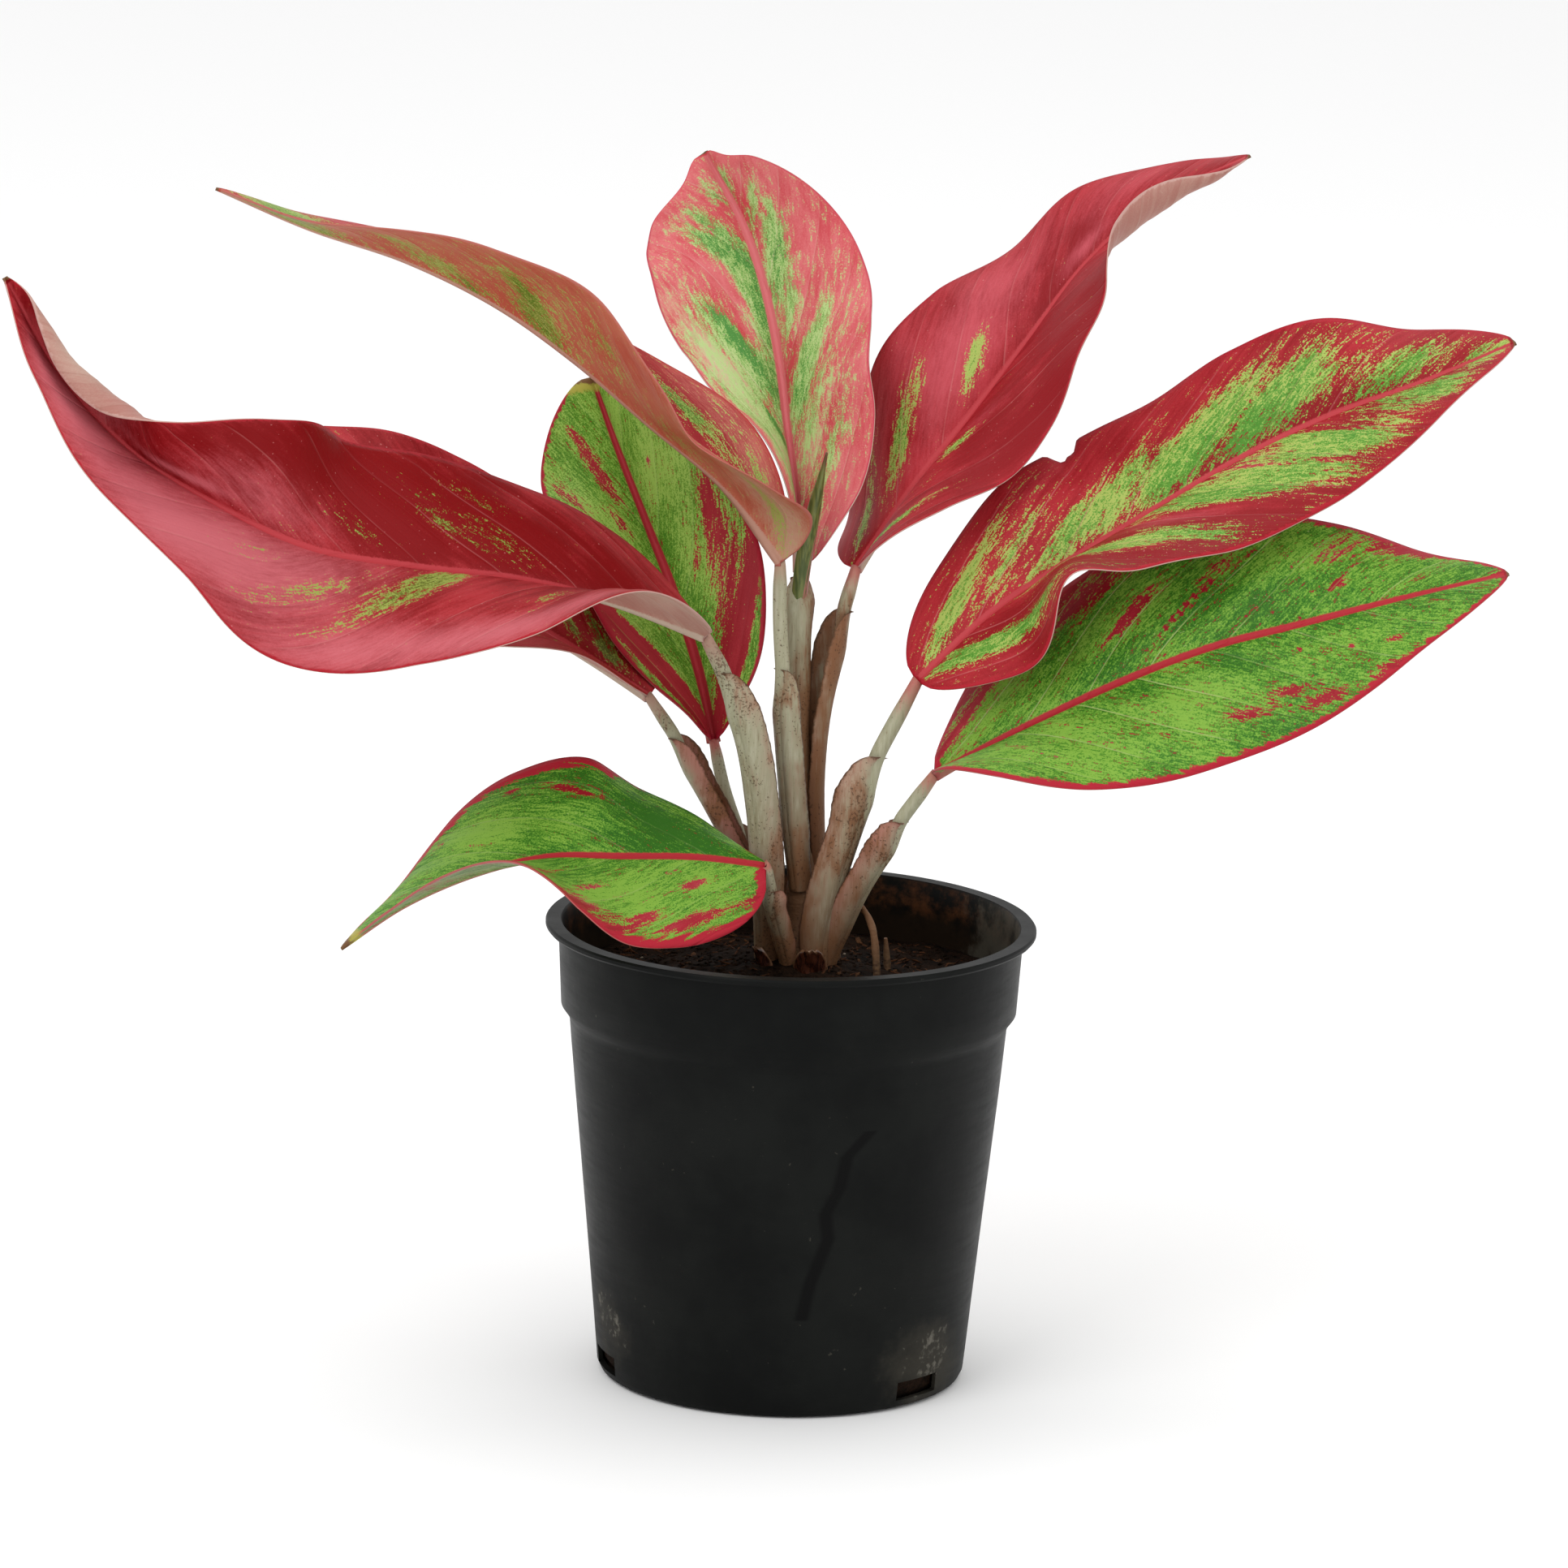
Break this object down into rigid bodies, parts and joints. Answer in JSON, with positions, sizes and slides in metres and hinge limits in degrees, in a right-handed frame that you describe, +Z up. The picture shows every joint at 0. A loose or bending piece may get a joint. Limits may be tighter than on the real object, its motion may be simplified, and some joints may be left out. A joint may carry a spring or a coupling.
{
  "type": "potted red chinese evergreen",
  "caption": "Leafy aroid house plant with red and green waved leaves on sheathed stalks, standing in soil in a tapered nursery pot.",
  "frame": {"origin": "centre of the pot's flat underside", "axes": "+Z up out of the pot, +X to the viewer's right, +Y away from the viewer of the picture"},
  "size_m": [0.4531, 0.1783, 0.3721],
  "materials": {
    "pot_plastic": "thin black plastic, satin, with dust and lime near the foot",
    "soil": "moist peat and bark potting mix",
    "cane": "corky brown stem and roots",
    "husk": "dry papery scale",
    "stalk": "fleshy, cream and green with a pink flush",
    "leaf_red": "waxy, crimson with green streaks",
    "leaf_pink": "waxy, pink with light green",
    "leaf_mixed": "waxy, red and olive, seen from below",
    "leaf_green": "waxy, bright green with crimson margin and midrib"
  },
  "bodies": {
    "root": {"pot": "pot_plastic", "soil": "soil", "cane_with_roots": "cane", "rolled_young_leaf": "leaf_green", "husk_front": "husk", "husk_left": "husk", "stalk_upper_left": "stalk", "stalk_centre_back": "stalk", "stalk_upper_right": "stalk", "stalk_right": "stalk", "stalk_lower_right": "stalk", "stalk_left": "stalk", "stalk_left_back": "stalk", "stalk_back_left": "stalk", "stalk_front_low": "stalk", "blade_upper_left": "leaf_mixed", "blade_centre_back": "leaf_pink", "blade_upper_right": "leaf_red", "blade_right": "leaf_red", "blade_lower_right": "leaf_green", "blade_left": "leaf_red", "blade_left_back": "leaf_mixed", "blade_back_left": "leaf_green", "blade_front_low": "leaf_green"}
  },
  "joints": []
}
